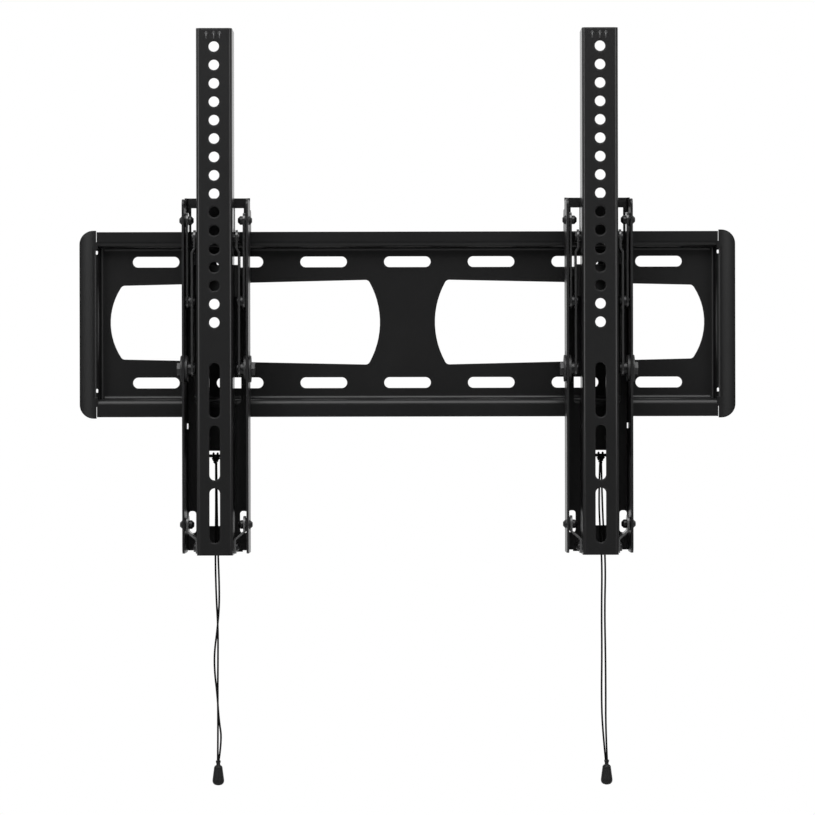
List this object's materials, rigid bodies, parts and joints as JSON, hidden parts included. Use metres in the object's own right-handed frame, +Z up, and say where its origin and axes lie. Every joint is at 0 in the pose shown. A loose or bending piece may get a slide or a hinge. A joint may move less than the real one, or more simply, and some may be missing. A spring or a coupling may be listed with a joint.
{
  "type": "tilting tv wall bracket",
  "caption": "Tilting wall bracket for a flat screen: a folded, slotted wall plate and hook-on arms that slide along it, tilt on friction stays and unlatch by pull cords.",
  "frame": {"origin": "on the wall, at the centre of the plate's back face, midway between the two rows of wall slots", "axes": "+X along the plate, +Y into the wall, +Z up; the front faces -Y"},
  "size_m": [0.5448, 0.06, 0.6224],
  "materials": {
    "plate_coat": "satin powder coat",
    "black_coat": "satin powder coat",
    "arm_coat": "satin powder coat",
    "black_steel": "black plated, satin",
    "black_nylon": "matte",
    "friction_disc": "smooth, semi-matte",
    "spring_steel": "drawn wire",
    "cord": "braided",
    "pull_plastic": "satin"
  },
  "bodies": {
    "wall": {"wall_plate": "plate_coat"},
    "left_hook": {"left_hook_bracket": "black_coat", "left_hinge_rivets": "black_steel", "left_hinge_washers": "black_nylon", "left_latch_guides": "black_steel", "left_latch_spring": "spring_steel"},
    "left_stay": {"left_stay_right": "black_coat", "left_stay_left": "black_coat"},
    "left_lift": {"left_lift_link": "black_coat", "left_link_rivets": "black_steel", "left_friction_bolts": "black_steel", "left_friction_sleeves": "black_steel", "left_friction_discs": "friction_disc", "left_slide_pins": "black_steel"},
    "left_arm": {"left_tv_arm": "arm_coat", "left_lower_strap_right": "black_coat", "left_lower_strap_left": "black_coat", "left_strap_rivets": "black_steel"},
    "left_latch": {"left_latch_plate": "black_coat", "left_cord_hitch": "cord", "left_cord_a": "cord", "left_cord_b": "cord", "left_cord_pull": "pull_plastic"},
    "right_hook": {"right_hook_bracket": "black_coat", "right_hinge_rivets": "black_steel", "right_hinge_washers": "black_nylon", "right_latch_guides": "black_steel", "right_latch_spring": "spring_steel"},
    "right_stay": {"right_stay_right": "black_coat", "right_stay_left": "black_coat"},
    "right_lift": {"right_lift_link": "black_coat", "right_link_rivets": "black_steel", "right_friction_bolts": "black_steel", "right_friction_sleeves": "black_steel", "right_friction_discs": "friction_disc", "right_slide_pins": "black_steel"},
    "right_arm": {"right_tv_arm": "arm_coat", "right_lower_strap_right": "black_coat", "right_lower_strap_left": "black_coat", "right_strap_rivets": "black_steel"},
    "right_latch": {"right_latch_plate": "black_coat", "right_cord_hitch": "cord", "right_cord_a": "cord", "right_cord_b": "cord", "right_cord_pull": "pull_plastic"}
  },
  "joints": [
    {"name": "left_slide", "type": "slide", "parent": "wall", "child": "left_hook", "axis": [1, 0, 0], "range_m": [-0.055, 0.107]},
    {"name": "left_tilt", "type": "hinge", "parent": "left_hook", "child": "left_arm", "pos_m": [-0.1574, -0.04, -0.1673], "axis": [1, 0, 0], "range_deg": [0, 12]},
    {"name": "left_stay_swing", "type": "hinge", "parent": "left_hook", "child": "left_stay", "pos_m": [-0.1574, -0.04, 0.0826], "axis": [-1, 0, 0], "range_deg": [0, 22.25]},
    {"name": "left_lift_turn", "type": "hinge", "parent": "left_stay", "child": "left_lift", "pos_m": [-0.1574, -0.04, 0.0157], "axis": [1, 0, 0], "range_deg": [0, 49.47]},
    {"name": "left_latch_pull", "type": "slide", "parent": "left_hook", "child": "left_latch", "axis": [0, 0, -1], "range_m": [0, 0.009], "stiffness_N_per_m": 300, "springref_m": -0.005, "deforming": ["left_latch_spring"]},
    {"name": "right_slide", "type": "slide", "parent": "wall", "child": "right_hook", "axis": [1, 0, 0], "range_m": [-0.107, 0.055]},
    {"name": "right_tilt", "type": "hinge", "parent": "right_hook", "child": "right_arm", "pos_m": [0.1574, -0.04, -0.1673], "axis": [1, 0, 0], "range_deg": [0, 12]},
    {"name": "right_stay_swing", "type": "hinge", "parent": "right_hook", "child": "right_stay", "pos_m": [0.1574, -0.04, 0.0826], "axis": [-1, 0, 0], "range_deg": [0, 22.25]},
    {"name": "right_lift_turn", "type": "hinge", "parent": "right_stay", "child": "right_lift", "pos_m": [0.1574, -0.04, 0.0157], "axis": [1, 0, 0], "range_deg": [0, 49.47]},
    {"name": "right_latch_pull", "type": "slide", "parent": "right_hook", "child": "right_latch", "axis": [0, 0, -1], "range_m": [0, 0.009], "stiffness_N_per_m": 300, "springref_m": -0.005, "deforming": ["right_latch_spring"]}
  ],
  "couplings": [
    {"joint": "left_stay_swing", "follows": "left_tilt", "ratio": 1.85},
    {"joint": "left_lift_turn", "follows": "left_tilt", "ratio": 4.118},
    {"joint": "right_stay_swing", "follows": "right_tilt", "ratio": 1.85},
    {"joint": "right_lift_turn", "follows": "right_tilt", "ratio": 4.118}
  ]
}
